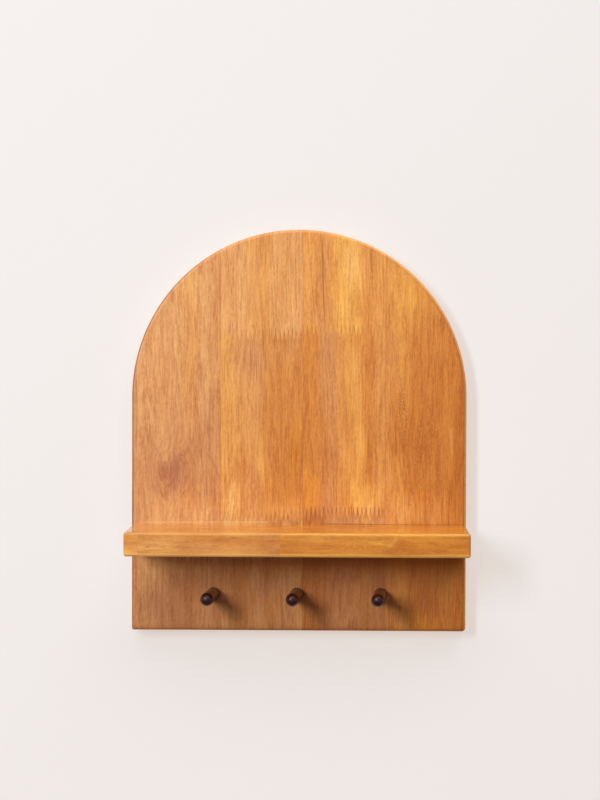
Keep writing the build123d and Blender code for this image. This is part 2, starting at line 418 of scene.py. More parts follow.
BOARD_TIMBERS = {
    "board_edge_strip": Timber(
        bands=((-150, ROSE), (-148, TOFFEE), (-144.5, HONEY)),
        patches=(Patch(AMBER, 0.6, (-148, -180), (8, 44)),),
        heart=(-60, 80),
    ),
    "board_left_stave": Timber(
        bands=((-144.5, HONEY), (-112, HONEY), (-96, AMBER), (-86, HONEY), (-70.5, TOFFEE)),
        patches=(
            Patch(PALE, 0.5, (-92, 98), (26, 30)),
            Patch(PALE, 0.6, (-105, 62), (11, 40)),
            Patch(TOFFEE, 0.5, (-90, 74), (8, 22)),
            Patch(TOFFEE, 0.6, (-122, 14), (20, 44)),
            Patch(ROSE, 0.8, (-96, -52), (48, 84)),
            Patch(ROSE, 0.8, (-134, -66), (20, 70)),
            Patch(PLUM, 0.25, (-124, -78), (24, 34)),
            Patch(PLUM, 0.3, (-108, -66), (28, 36)),
            Patch(PLUM, 0.7, (-112, -68), (15, 19)),
            Patch(ROSE, 0.6, (-79, -10), (8, 50)),
            Patch(HONEY, 0.4, (-105, -40), (9, 16)),
            Patch(HONEY, 0.9, (-100, -105), (44, 15)),
            Patch(PALE, 0.5, (-82, -104), (12, 12)),
            Patch(RUSSET, 0.6, (-110, -190), (75, 66)),
            # painted light in the shelf's shadow at its left end
            Patch(PALE, 0.75, (-112, -153), (50, 15)),
            Patch(BARK, 0.6, (-132.6, -173), (3, 4)),
        ),
        strokes=(
            Stroke(PLUM, 0.6, (-111, -84), (-109, -60), 0.5, 2.2),
            Stroke(PLUM, 0.5, (-92, -34), (-104, -70), -4, 1.8),
            Stroke(PLUM, 0.45, (-84, -48), (-70, -78), 2, 1.6),
            Stroke(PLUM, 0.3, (-130, -44), (-122, -74), 3, 1.6),
            Stroke(BARK, 0.5, (-98, -22), (-97.5, -40), 0, 0.8),
            Stroke(PALE, 0.8, (-144, -112.8), (-60, -112.4), 0, 1.1),
        ),
        knots=(((-112, -68), (26, 34)),),
        heart=(-108, 70),
        ring=3.8,
        wash=(1.03, 1.05, 1.03),
    ),
    "board_centre_left_top_block": Timber(
        bands=((-70.5, HONEY), (-50, HONEY), (-30, AMBER), (-22, HONEY), (3.5, HONEY)),
        patches=(
            Patch(ROSE, 0.6, (-53, 126), (9, 14)),
            Patch(STRAW, 0.5, (-44, 134), (7, 12)),
            Patch(AMBER, 0.5, (-12, 108), (12, 44)),
        ),
        strokes=(Stroke(BARK, 0.5, (-12, 106), (-11.5, 86), 0, 0.8),),
        joints=((-70.5, 55.5, 0.5),),
        heart=(-120, 60),
        ring=4.2,
        wash=(1.05, 1.04, 0.93),
    ),
    "board_centre_left_middle_block": Timber(
        bands=(
            (-70.5, AMBER), (-58, AMBER), (-48, TOFFEE), (-36, TOFFEE), (-29, COPPER), (3.5, COPPER),
        ),
        patches=(
            Patch(ROSE, 0.65, (-44, 36), (34, 34)),
            Patch(ROSE, 0.5, (-8, 44), (14, 20)),
            Patch(RUST, 0.85, (-6, -52), (22, 74)),
            Patch(EMBER, 0.6, (-2, -44), (12, 50)),
            Patch(CHESTNUT, 0.35, (-18, -66), (8, 16)),
            Patch(STRAW, 0.4, (-34, -48), (8, 30)),
            Patch(COPPER, 0.8, (-50, -62), (12, 24)),
            Patch(PALE, 0.95, (-61, -96), (12, 22)),
            Patch(AMBER, 0.7, (-14, -100), (34, 14)),
        ),
        joints=((-70.5, 55.5, 0.45), (-70.5, -108.5, 0.6)),
        heart=(60, 80),
        ring=3.1,
        wash=(1.1, 1.16, 1.06),
    ),
    "board_centre_left_bottom_block": Timber(
        bands=((-70.5, TOFFEE), (-50, COPPER), (-38, TOFFEE), (-24, COPPER), (-12, TOFFEE), (3.5, AMBER)),
        patches=(
            Patch(AMBER, 0.8, (-46, -114), (26, 12)),
            Patch(PALE, 0.8, (-61, -112), (12, 12)),
            Patch(CHESTNUT, 0.9, (-8, -112), (30, 9)),
            Patch(CHESTNUT, 0.35, (-58, -166), (16, 26)),
            Patch(ROSE, 0.8, (-26, -171), (26, 10)),
            Patch(AMBER, 0.7, (-5, -198), (9, 18)),
        ),
        strokes=(Stroke(PALE, 0.7, (-72, -112.4), (-24, -112.2), 0, 1.1),),
        joints=((-70.5, -108.5, 0.7),),
        heart=(10, 75),
        ring=3.5,
        wash=(1.02, 1.12, 1.22),
    ),
    "board_centre_right_top_block": Timber(
        bands=(
            (3.5, AMBER), (14, AMBER), (21, TOFFEE), (29, AMBER), (38, STRAW), (50, STRAW), (58, AMBER),
            (77.5, AMBER),
        ),
        patches=(
            Patch(PALE, 0.7, (46, 118), (14, 30)),
            Patch(AMBER, 0.5, (48, 78), (10, 24)),
            Patch(COPPER, 0.75, (61, 70), (11, 34)),
            Patch(ROSE, 0.4, (12, 76), (14, 20)),
        ),
        strokes=(
            Stroke(BARK, 0.75, (20.4, 143), (23.4, 60), -0.6, 1.1),
            Stroke(BARK, 0.4, (74.4, 128), (74.8, 62), 0.3, 0.9),
            Stroke(BARK, 0.35, (63, 132), (66, 86), 0.5, 0.9),
            Stroke(GOLD, 0.6, (34, 116), (35, 84), 0.5, 2.0),
        ),
        joints=((3.5, 60, 0.45),),
        heart=(150, 70),
        ring=4.4,
        wash=(1.1, 1.09, 0.92),
    ),
    "board_centre_right_middle_block": Timber(
        bands=(
            (3.5, COPPER), (15, COPPER), (22, ROSE), (31, ROSE), (35, TOFFEE), (45, AMBER), (54, AMBER),
            (62, COPPER), (70, TOFFEE), (77.5, TOFFEE),
        ),
        patches=(
            Patch(RUST, 0.6, (24, -40), (12, 60)),
            Patch(TOFFEE, 0.5, (40, -28), (9, 44)),
            Patch(COPPER, 0.5, (36, -74), (8, 24)),
            Patch(STRAW, 0.4, (54, -40), (10, 40)),
            Patch(GOLD, 0.7, (12, -82), (14, 30)),
            Patch(STRAW, 0.8, (57, -90), (18, 24)),
            Patch(PALE, 0.8, (60, -99), (16, 16)),
        ),
        strokes=(
            Stroke(PALE, 0.35, (46, 52), (55, -60), 1, 4.0),
            Stroke(BARK, 0.3, (48, -6), (49.5, -58), 0.5, 0.9),
            Stroke(BARK, 0.7, (47.4, -97), (47.6, -107), 0, 1.0),
        ),
        joints=((3.5, 60, 0.4), (3.5, -104, 0.75)),
        heart=(-60, 75),
        ring=3.3,
        wash=(1.11, 1.11, 0.87),
    ),
    "board_centre_right_bottom_block": Timber(
        bands=(
            (3.5, COPPER), (18, COPPER), (32, TOFFEE), (46, TOFFEE), (60, AMBER), (70, TOFFEE),
            (77.5, TOFFEE),
        ),
        patches=(
            Patch(CHESTNUT, 0.9, (10, -110), (22, 10)),
            Patch(STRAW, 0.6, (58, -110), (20, 8)),
            Patch(RUSSET, 0.5, (40, -163), (28, 8)),
            Patch(HONEY, 0.6, (40, -198), (28, 10)),
        ),
        # dark glue line with a painted contact shadow where the board meets the shelf top
        strokes=(Stroke(BARK, 0.7, (20, -113.7), (90, -114), 0, 1.0),),
        joints=((3.5, -104, 0.8),),
        heart=(120, 85),
        ring=3.9,
        wash=(0.93, 0.9, 0.9),
    ),
    "board_right_stave": Timber(
        bands=((77.5, TOFFEE), (92, AMBER), (103, COPPER), (130, COPPER), (142, RUST), (150, RUST)),
        patches=(
            Patch(STRAW, 0.6, (98, 92), (34, 44)),
            Patch(RUST, 0.85, (114, -20), (42, 84)),
            Patch(RUST, 0.6, (86, -30), (9, 60)),
            Patch(CHESTNUT, 0.75, (97, -36), (15, 52)),
            Patch(CHESTNUT, 0.4, (140, -60), (12, 60)),
            Patch(CHESTNUT, 0.3, (118, -46), (12, 50)),
            Patch(HONEY, 0.75, (92, -103), (26, 18)),
            Patch(TOFFEE, 0.7, (118, -104), (26, 14)),
            Patch(CHESTNUT, 0.5, (118, -192), (42, 22)),
            Patch(GOLD, 1.0, (114, -206), (20, 18)),
            Patch(AMBER, 0.5, (132, -172), (16, 24)),
        ),
        strokes=(
            Stroke(BARK, 0.6, (86, -20), (87.5, -52), 0, 0.9),
            Stroke(PALE, 0.5, (136, -26), (137, -52), 0, 1.4),
            Stroke(BARK, 0.5, (128.5, -92), (128, -114), 0, 0.9),
            # dark glue line with a painted contact shadow where the board meets the shelf top
            Stroke(BARK, 0.7, (66, -114), (158, -114), 0, 1.0),
        ),
        flecks=(
            (1.0, (93, -8), (8, 48)),
            (0.6, (92, 108), (14, 20)),
            (0.5, (112, -40), (30, 60)),
        ),
        heart=(125, 55),
        ring=2.9,
        wash=(1.07, 1.03, 0.8),
    ),
}

SHELF_TIMBERS = {
    "shelf_left_block": Timber(
        bands=((-136, GOLD), (-130, AMBER), (-124, COPPER), (-116, GOLD), (-100, AMBER), (-36, TOFFEE)),
        patches=(Patch(STRAW, 0.7, (-133, -144), (5, 10)), Patch(HONEY, 0.7, (-90, -140), (40, 20))),
        heart=(-90, 30),
        wash=(1.05, 1.08, 0.9),
    ),
    "shelf_middle_block": Timber(
        bands=(
            (-136, AMBER), (-133, TOFFEE), (-126, TOFFEE), (-118, COPPER), (-114, AMBER),
            (-104, GOLD), (-70, GOLD), (-36, AMBER),
        ),
        patches=(
            Patch(HONEY, 0.7, (-125, -122), (12, 34)),
            Patch(CHESTNUT, 0.65, (-127, -26), (12, 30)),
            Patch(RUST, 0.6, (-124, -56), (12, 40)),
            Patch(STRAW, 0.7, (-108, -52), (14, 30)),
            Patch(EMBER, 0.7, (-80, -90), (50, 60)),
            Patch(ROSE, 0.5, (-126, -76), (6, 10)),
        ),
        strokes=(
            Stroke(BARK, 0.5, (-130.5, -133), (-130, -112), 0, 0.9),
            Stroke(BARK, 0.7, (-127.4, -131), (-127, -127), 0, 1.5),
            Stroke(BARK, 0.35, (-124, -108), (-122.5, -92), 0.5, 1.2),
            Stroke(BARK, 0.5, (-118.5, -58), (-120, -46), 0, 1.5),
        ),
        heart=(-150, 34),
        ring=2.8,
        wash=(1.06, 1.08, 0.8),
        # top front edge: worn stain with a painted highlight
        arris=linear(212, 146, 80),
    ),
    "shelf_right_block": Timber(
        bands=(
            (-136, TOFFEE), (-133, COPPER), (-126, RUST), (-118, COPPER), (-114, AMBER),
            (-104, GOLD), (-70, GOLD), (-36, AMBER),
        ),
        patches=(
            Patch(CHESTNUT, 0.4, (-127, 8), (12, 50)),
            Patch(TOFFEE, 0.6, (-119, 20), (6, 26)),
            Patch(EMBER, 0.7, (-124, 108), (12, 50)),
            Patch(STRAW, 0.5, (-124, 74), (9, 14)),
            Patch(CHESTNUT, 0.7, (-125, 148), (14, 20)),
            Patch(STRAW, 0.7, (-108, 30), (14, 50)),
            Patch(COPPER, 0.6, (-80, 120), (50, 30)),
        ),
        strokes=(
            Stroke(PALE, 0.35, (-127, 79), (-118, 87), 0, 2.6),
            Stroke(BARK, 0.4, (-121, 60), (-120, 74), 0, 1.4),
            Stroke(BARK, 0.35, (-123.5, 98), (-122.5, 122), 0.3, 1.0),
            Stroke(BARK, 0.4, (-129, 10), (-128, 30), 0, 0.9),
        ),
        flecks=((0.8, (-126, 48), (6, 26)), (0.5, (-124, 130), (9, 16))),
        heart=(-100, 36),
        ring=3.0,
        wash=(1.1, 1.12, 0.58),
        # top front edge: worn stain with the strongest painted highlight
        arris=linear(228, 160, 82),
    ),
}


KNOT_PULL = 0.75    # share of the way to the middle of a knot that its grain is bent
RING_DRIFT = 7.0    # how many rings the count wanders by along the grain


def swerve(graph, across, face, knots):
    """The place across the grain, bent so that the grain goes round the knots."""
    for centre, reach in knots:
        pull = graph.times(graph.spot(face, centre, reach), KNOT_PULL)
        back = graph.minus(centre[0], across)
        across = graph.scaled(back, pull, across)
    return across


def growth_rings(graph, grain, timber):
    """Growth rings from 0 to 1, each darkening slowly and ending at a crisp line."""
    drift = graph.noise(grain, (22, 22, 190), detail=2)
    off_heart = graph.vector("SUBTRACT", grain, (*timber.heart, 0))
    off_heart = graph.vector("MULTIPLY", off_heart, (1 / timber.ring, 1 / timber.ring, 0))
    count = graph.scaled(drift, RING_DRIFT, graph.vector("LENGTH", off_heart))
    year = graph.math("FRACT", count)
    return graph.times(graph.span(year, 0.1, 0.86, smooth=True), graph.span(year, 1.0, 0.88))


def finger_lines(graph, across, along, joint):
    """The glue between the fingers of a zigzag joint, darkest where the fingers end."""
    start, middle, strength = joint
    from_tip = graph.math("PINGPONG", graph.minus(across, start), FINGER_PITCH / 2)
    height = graph.minus(along, middle)
    line = graph.scaled(from_tip, -2 * FINGER_LENGTH / FINGER_PITCH, FINGER_LENGTH / 2)
    gap = graph.math("ABSOLUTE", graph.minus(height, line))
    slope = FINGER_PITCH / 2 / FINGER_LENGTH
    glue = graph.span(gap, 0.5 / slope, 0.1 / slope, 0, 0.35)
    inside = graph.span(graph.math("ABSOLUTE", height), FINGER_LENGTH / 2 + 1.2, FINGER_LENGTH / 2)
    tick = graph.span(from_tip, 0.7, 0.3)
    tick = graph.times(tick, graph.span(height, -1.5, 2.5))
    mask = graph.times(graph.math("MAXIMUM", glue, tick), inside)
    uneven = graph.noise(graph.join(across, 0, along), (5, 5, 14), detail=1)
    mask = graph.times(mask, graph.span(uneven, 0.38, 0.62, 0.15 * strength, strength))
    return graph.times(mask, graph.span(across, *TIGHT_FIT, 0.25, 1.0))


def near_front(graph, y, whole, gone):
    """1 within whole millimetres of the front of the board, falling to 0 at gone."""
    return graph.span(y, FRONT / MM + gone, FRONT / MM + whole)


SHELF_SHADOW_BELOW = (-158, -143)    # heights over which the painted shadow in the corner at the shelf sets in, from below
SHELF_SHADOW_ABOVE = (-113, -120)    # and from above
WORN_RIM = (1.9, 0.8)          # from the outline: where the rim's worn stain, and on the right its painted highlight, start and are strongest
RIM_LINE = 2.6                 # from the outline: the dark line beside the worn rim


def seams_rims_and_painted_light(graph, colour, x, y, z, front, streak):
    """Glue seams between the staves, painted shade by height and a painted shadow at the shelf, and the
    front rim, where sanding wore the stain thin and a painted highlight lightens it on the right.
    """
    edge = near_front(graph, y, 0.8, 3.6)
    for seam in SEAMS:
        off = graph.math("ABSOLUTE", graph.minus(x, seam / MM))
        line = graph.times(graph.span(off, 0.8, 0.2), graph.span(streak, 0.3, 0.65, 0.32, 0.08))
        colour = graph.mix(line, colour, BARK)
    # painted shade by height, over the whole board
    colour = graph.mix(1.0, colour, graph.ramp(z, SHADE_BY_HEIGHT), blend="MULTIPLY")
    # painted shadow in the corners above and below the shelf, deeper towards the right
    corner = graph.math("MINIMUM", graph.span(z, *SHELF_SHADOW_BELOW), graph.span(z, *SHELF_SHADOW_ABOVE))
    corner = graph.times(corner, graph.span(x, -60, 40, 0.0, 0.8))
    colour = graph.mix(graph.times(corner, front), colour, SHADOW_BROWN)
    out = graph.vector("LENGTH", graph.join(x, 0, graph.math("MAXIMUM", z, 0)))
    off_rim = graph.minus(HALF_WIDTH / MM, out)
    rim = graph.times(graph.span(off_rim, *WORN_RIM), edge)
    # partly worn stain, partly a painted highlight, growing towards the right of the rim
    right = graph.times(rim, graph.span(x, -20, 90, 0.1, 0.8))
    colour = graph.mix(right, colour, BARE_WOOD_AND_HIGHLIGHT)
    line = graph.span(graph.math("ABSOLUTE", graph.minus(off_rim, RIM_LINE)), 1.0, 0.3)
    line = graph.times(line, graph.span(streak, 0.35, 0.65, 0.1, 0.3))
    line = graph.times(line, graph.span(x, 30, 90))
    colour = graph.mix(graph.times(line, front), colour, BARK)
    low = graph.times(graph.span(z, 10, -95), graph.span(z, -140, -115))
    worn = graph.math("MAXIMUM", graph.span(streak, 0.3, 0.6, 0.5, 0.8), low)
    left = graph.times(graph.times(rim, worn), graph.span(x, -60, -110))
    return graph.mix(left, colour, DUSK)


def arris_wear_and_highlight(graph, colour, y, z, streak, top_tone):
    """The two long front edges of the shelf, where sanding changed the stain; the top edge's tone also
    paints how strong its highlight is, weak on the left and strong on the right.
    """
    for edge, tone, strength in ((SHELF_TOP, top_tone, 0.7), (SHELF_UNDERSIDE, PALE, 1.0)):
        away = graph.vector("SUBTRACT", graph.join(0, y, z), (0, SHELF_FRONT / MM, edge / MM))
        near = graph.span(graph.vector("LENGTH", away), 3.4, 1.2)
        share = graph.times(near, graph.span(streak, 0.3, 0.7, 0.4 * strength, strength))
        colour = graph.mix(share, colour, tone)
    return colour


BOARD_GAINS = (1.05, 0.5, 0.45, 0.4, 0.55)    # of hairs, streaks, broad streaks, clouds and grit
SHELF_GAINS = (0.35, 0.3, 0.45, 0.9, 0.5)
BOARD_RELIEF = 0.09 * MM
SHELF_RELIEF = 0.015 * MM
BOARD_SHINE = 0.3
SHELF_SHINE = 0.45
SATIN = (0.4, 0.52)    # roughness of the varnish, from one streak to the next
LEVELLED = 0.32        # how much smoother it is on top of the shelf, where it could level out


def pine_material(name, timber, along_shelf, seed, tint):
    """Stained pine, whose grain runs up the board or along the shelf."""
    material, graph, shader = new_material(name)
    x, y, z = graph.parts(graph.place())
    if along_shelf:
        unrolled = graph.plus(z, graph.minus(y, SHELF_FRONT / MM))
        solid, across, along = graph.join(z, y, x), unrolled, x
    else:
        solid, across, along = graph.join(x, y, z), x, z
    seed_shift = (37.3 * seed, 11.9 * seed, 91.7 * seed)
    face = graph.join(across, 0, along)

    # the grain wanders a little, and swerves round the knots
    wander = graph.noise(graph.vector("ADD", face, seed_shift), (34, 1, 120), detail=2)
    bend = graph.scaled(wander, 9.0, -4.5)
    bend = graph.plus(bend, graph.minus(swerve(graph, across, face, timber.knots), across))
    solid = graph.vector("ADD", solid, graph.join(bend, bend, 0))
    rings = growth_rings(graph, solid, timber)
    solid = graph.vector("ADD", solid, seed_shift)

    # big tones: bands across the grain, then patches with ragged ends
    ragged_x = graph.noise(solid, (5, 5, 46), detail=3)
    ragged_z = graph.noise(solid, (4, 4, 30), detail=2)
    shift = graph.join(graph.scaled(ragged_x, 10.0, -5.0), 0, graph.scaled(ragged_z, 44.0, -22.0))
    if along_shelf:
        shift = graph.vector("MULTIPLY", shift, (0.35, 1, 0.6))
    loose = graph.vector("ADD", face, shift)
    colour = graph.ramp(graph.scaled(bend, 0.3, across), timber.bands)
    for patch in timber.patches:
        share = graph.times(graph.spot(loose, patch.centre, patch.reach), patch.strength)
        colour = graph.mix(share, colour, patch.tone)

    # fibres, from broad streaks to hairs
    fine = graph.noise(solid, (0.8, 0.8, 15), detail=3, roughness=0.6)
    streak = graph.noise(solid, (2.0, 2.0, 34), detail=2)
    broad = graph.noise(solid, (7, 7, 60), detail=2)
    cloud = graph.noise(solid, (16, 16, 36), detail=2)
    grit = graph.noise(solid, (1.3, 1.3, 3.4), detail=2)
    tone = graph.scaled(rings, -0.14, 0.52)
    gains = SHELF_GAINS if along_shelf else BOARD_GAINS
    for part, gain in zip((fine, streak, broad, cloud, grit), gains):
        tone = graph.plus(tone, graph.scaled(part, gain, -gain / 2))
    stain = graph.ramp(tone, ((0.1, shade(0.72)), (0.5, shade(1.0)), (0.9, shade(1.2))))
    colour = graph.mix(1.0, colour, stain, blend="MULTIPLY")

    # pores, flecks, drawn lines and glue
    pores = graph.span(graph.noise(solid, (0.6, 0.6, 7), detail=1), 0.66, 0.76)
    colour = graph.mix(graph.times(pores, 0.3), colour, BARK)
    for strength, centre, reach in timber.flecks:
        where = graph.spot(face, centre, reach)
        speck = graph.noise(solid, (1.0, 1.0, 2.2), detail=2, roughness=0.7)
        for tone_of_speck, low, high in ((BARK, 0.56, 0.66), (PALE, 0.44, 0.34)):
            share = graph.times(graph.span(speck, low, high), where)
            colour = graph.mix(graph.times(share, 0.7 * strength), colour, tone_of_speck)
    front = 1.0 if along_shelf else near_front(graph, y, 3.0, 4.5)
    for stroke in timber.strokes:
        line = graph.stroke(face, stroke.start, stroke.end, stroke.bow, stroke.width)
        broken = graph.span(fine, 0.3, 0.6, stroke.strength, 0.6 * stroke.strength)
        line = graph.times(graph.times(line, broken), front)
        colour = graph.mix(line, colour, stroke.tone)
    for joint in timber.joints:
        colour = graph.mix(finger_lines(graph, across, along, joint), colour, BARK)
    if along_shelf:
        colour = arris_wear_and_highlight(graph, colour, y, z, streak, timber.arris)
    else:
        colour = seams_rims_and_painted_light(graph, colour, x, y, z, front, streak)
    wash = tuple(a * b for a, b in zip(tint, timber.wash))
    colour = graph.mix(1.0, colour, wash, blend="MULTIPLY")

    graph.feed(shader.inputs["Base Color"], colour)
    roughness = graph.span(streak, 0.3, 0.7, *SATIN)
    if along_shelf:
        level = graph.span(z, SHELF_TOP / MM - 2.0, SHELF_TOP / MM - 0.3)
        roughness = graph.scaled(level, -LEVELLED, roughness)
    graph.feed(shader.inputs["Roughness"], roughness)
    shader.inputs["Specular IOR Level"].default_value = SHELF_SHINE if along_shelf else BOARD_SHINE
    relief = graph.minus(graph.plus(fine, streak), graph.times(pores, 0.8))
    graph.feed(shader.inputs["Normal"], graph.bump(relief, SHELF_RELIEF if along_shelf else BOARD_RELIEF))
    return material


# ---- pegs and metal ----


def peg_material(name, colours, tip_depth):
    """Espresso stain, nearly black on the tip and worn redder along the shaft."""
    material, graph, shader = new_material(name)
    here = graph.place()
    grain = graph.noise(here, (0.7, 11, 0.7), detail=3, roughness=0.6)
    cloud = graph.noise(here, (4, 7, 4), detail=2)
    depth = graph.parts(here)[1]
    worn = graph.span(depth, tip_depth, tip_depth + 9.0, 0.0, 0.55, smooth=True)
    worn = graph.scaled(graph.plus(grain, cloud), 0.9, worn)
    colour = graph.mix(graph.span(worn, 0.75, 1.5), tuple(colours.peg_tip), tuple(colours.peg_shaft))
    graph.feed(shader.inputs["Base Color"], colour)
    graph.feed(shader.inputs["Roughness"], graph.span(grain, 0.3, 0.7, 0.2, 0.34))
    shader.inputs["Specular IOR Level"].default_value = 0.25
    graph.feed(shader.inputs["Normal"], graph.bump(grain, 0.12 * MM))
    return material


DULLED = 0.72    # what tumbling leaves of the plating's brightness in the scratches


def plated_material(name, tone):
    """Zinc plating with the fine scratches of tumbling."""
    material, graph, shader = new_material(name)
    here = graph.place()
    brushed = graph.noise(here, (5, 0.15, 0.25), detail=3)
    spangle = graph.noise(here, (2.4, 2.4, 2.4), detail=2)
    dull = tuple(channel * DULLED for channel in tone)
    colour = graph.mix(graph.span(graph.plus(brushed, spangle), 0.7, 1.25), dull, tone)
    graph.feed(shader.inputs["Base Color"], colour)
    shader.inputs["Metallic"].default_value = 1.0
    graph.feed(shader.inputs["Roughness"], graph.span(spangle, 0.3, 0.7, 0.26, 0.44))
    graph.feed(shader.inputs["Normal"], graph.bump(brushed, 0.02 * MM))
    return material


# ---- meshes ----

WELD = 0.001 * MM                   # corners nearer to each other than this are one corner
FLAT_BEFORE = math.radians(0.05)    # faces that meet flatter than this are one face, before sanding
FLAT_AFTER = math.radians(0.02)     # and after it
FOLD = math.cos(math.radians(32))   # faces that meet at more than this angle are shaded apart
BOARD_WANDER = 22 * MM              # over about this length the sanding of an edge varies
SHELF_WANDER = 20 * MM


def new_piece(name, mesh):
    piece = bpy.data.objects.new(name, mesh)
    bpy.context.scene.collection.objects.link(piece)
    return piece


def loft(name, rings):
    """A closed mesh over rings of equal length, with flat ends."""
    shape = bmesh.new()
    rows = [[shape.verts.new(point) for point in ring] for ring in rings]
    count = len(rows[0])
    for low, high in zip(rows, rows[1:]):
        for n in range(count):
            after = (n + 1) % count
            shape.faces.new((low[n], low[after], high[after], high[n]))
    shape.faces.new(rows[0][::-1])
    shape.faces.new(rows[-1])
    bmesh.ops.remove_doubles(shape, verts=shape.verts, dist=WELD)
    bmesh.ops.recalc_face_normals(shape, faces=shape.faces)
    mesh = bpy.data.meshes.new(name)
    shape.to_mesh(mesh)
    shape.free()
    return mesh


def arch_outline(left_corner, right_corner, arch_steps=120, side_steps=30, corner_steps=6):
    """Points (x, z) round the backboard, their outward directions, and the corner they are on."""
    points = []

    def arc(centre, radius, first, last, count, corner=None):
        for n in range(count + 1):
            angle = math.radians(first + (last - first) * n / count)
            out = Vector((math.cos(angle), math.sin(angle)))
            points.append((Vector(centre) + radius * out, out, corner))

    def straight(start, end, out, count):
        for n in range(1, count):
            points.append((Vector(start).lerp(Vector(end), n / count), Vector(out), None))

    left, left_low = -HALF_WIDTH + left_corner, BOTTOM + left_corner
    right, right_low = HALF_WIDTH - right_corner, BOTTOM + right_corner
    arc((left, left_low), left_corner, 270, 180, corner_steps, Vector((-HALF_WIDTH, BOTTOM)))
    straight((-HALF_WIDTH, left_low), (-HALF_WIDTH, 0), (-1, 0), side_steps)
    arc((0, 0), HALF_WIDTH, 180, 0, arch_steps)
    straight((HALF_WIDTH, 0), (HALF_WIDTH, right_low), (1, 0), side_steps)
    arc((right, right_low), right_corner, 0, -90, corner_steps, Vector((HALF_WIDTH, BOTTOM)))
    straight((right, BOTTOM), (left, BOTTOM), (0, -1), side_steps)
    return points


def inside(point, out, inset):
    """A point of the outline moved in by inset, without crossing over at the corners."""
    moved = point - out * inset
    reach = HALF_WIDTH - inset
    return max(-reach, min(reach, moved.x)), max(BOTTOM + inset, moved.y)


def hand(place, reach, amount):
    """From 1 to 1 + amount: how a hand-sanded rounding varies from place to place."""
    return 1 + amount * (0.5 + 0.5 * noise.noise(Vector(place) / reach))


def quarter_turn(steps=6):
    return [math.pi / 2 * n / steps for n in range(steps + 1)]


def rounded_board(sizes):
    """The whole backboard in one piece, with its edges sanded round."""
    rings = []
    outline = arch_outline(sizes.left_corner, sizes.right_corner)
    faces = (
        (BACK, -1, sizes.back_rounding, quarter_turn()),
        (FRONT, 1, sizes.front_rounding, quarter_turn()[::-1]),
    )
    for face, inwards, radius, angles in faces:
        for angle in angles:
            ring = []
            for point, out, corner in outline:
                place = corner or point
                bend = radius * hand((place.x, face, place.y), BOARD_WANDER, sizes.sanding)
                x, z = inside(point, out, bend * (1 - math.sin(angle)))
                ring.append((x, face + inwards * bend * (1 - math.cos(angle)), z))
            rings.append(ring)
    return new_piece("rounded_board", loft("rounded_board", rings))


def rounded_shelf(sizes, sections=60):
    """The whole shelf in one piece, with all but its glued edges sanded round."""
    radius = sizes.shelf_rounding
    inside_board = (FRONT + BACK) / 2
    ends = [(radius * (1 - math.sin(angle)), radius * (1 - math.cos(angle))) for angle in quarter_turn()]
    stations = [(LEFT + depth, inset) for inset, depth in ends]
    length = RIGHT - LEFT - 2 * radius
    stations += [(LEFT + radius + length * n / sections, 0) for n in range(1, sections)]
    stations += [(RIGHT - depth, inset) for inset, depth in reversed(ends)]
    rings = []
    for x, inset in stations:
        top, under, front = SHELF_TOP - inset, SHELF_UNDERSIDE + inset, SHELF_FRONT + inset
        ring = [(x, inside_board, top)]
        for z, up, turn in ((top, 1, quarter_turn()), (under, -1, quarter_turn()[::-1])):
            bend = radius * hand((x, up, 0), SHELF_WANDER, sizes.sanding / 2)
            for angle in turn:
                y = front + bend * (1 - math.sin(angle))
                ring.append((x, y, z - up * bend * (1 - math.cos(angle))))
        ring.append((x, inside_board, under))
        rings.append(ring)
    return new_piece("rounded_shelf", loft("rounded_shelf", rings))


PEG_SPARE = 0.06 * MM               # how far the blank stays inside the construction's peg
ROOT_SPARE = 1 * MM                 # and outside it at the root, so that nothing is cut there
ROOT_SPAN = (-14 * MM, 0.5 * MM)    # where that is, from the start of the peg's free length
WAIST_ENDS = (2 * MM, 1 * MM)       # how far the waist stops short of both ends of that length
TIP_FLAT = 0.4 * MM                 # radius of the small flat on the tip


def worn_peg(node, waist, sides=48, waist_steps=8, dome_steps=9):
    """A round blank for a peg, a little waisted, whose domed tip is slightly uneven."""
    mount = MOUNTS[node]
    axis = Vector(mount["axis"]).normalized()
    middle = Vector(mount["pos_m"])
    radius = mount["dims"]["r_mm"] * MM
    half = mount["dims"]["length_mm"] * MM / 2
    tip = (middle.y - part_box(node)[0].y) / -axis.y
    root = -half
    profile = [(root + place, radius + ROOT_SPARE) for place in ROOT_SPAN]
    for n in range(waist_steps + 1):
        share = n / waist_steps
        place = root + WAIST_ENDS[0] + (2 * half - sum(WAIST_ENDS)) * share
        profile.append((place, radius - PEG_SPARE - waist * math.sin(math.pi * share) ** 2))
    dome = radius - PEG_SPARE
    for angle in quarter_turn(dome_steps)[:-1]:
        profile.append((tip - dome * (1 - math.sin(angle)), dome * math.cos(angle) ** 0.9))
    profile.append((tip, TIP_FLAT))
    right = axis.cross(Vector((0, 0, 1))).normalized()
    up = right.cross(axis)
    rings = []
    for place, reach in profile:
        ring = []
        for n in range(sides):
            turn = 2 * math.pi * n / sides
            out = math.cos(turn) * right + math.sin(turn) * up
            ring.append(middle + axis * place + out * reach * (1.02 - 0.02 * hand(out, 0.7, 2.0)))
        rings.append(ring)
    return new_piece(node + "_blank", loft(node + "_blank", rings))


def worked(piece):
    """A new mesh with the piece's modifiers worked into it, and taken off the piece."""
    graph = bpy.context.evaluated_depsgraph_get()
    mesh = bpy.data.meshes.new_from_object(piece.evaluated_get(graph))
    piece.modifiers.clear()
    return mesh


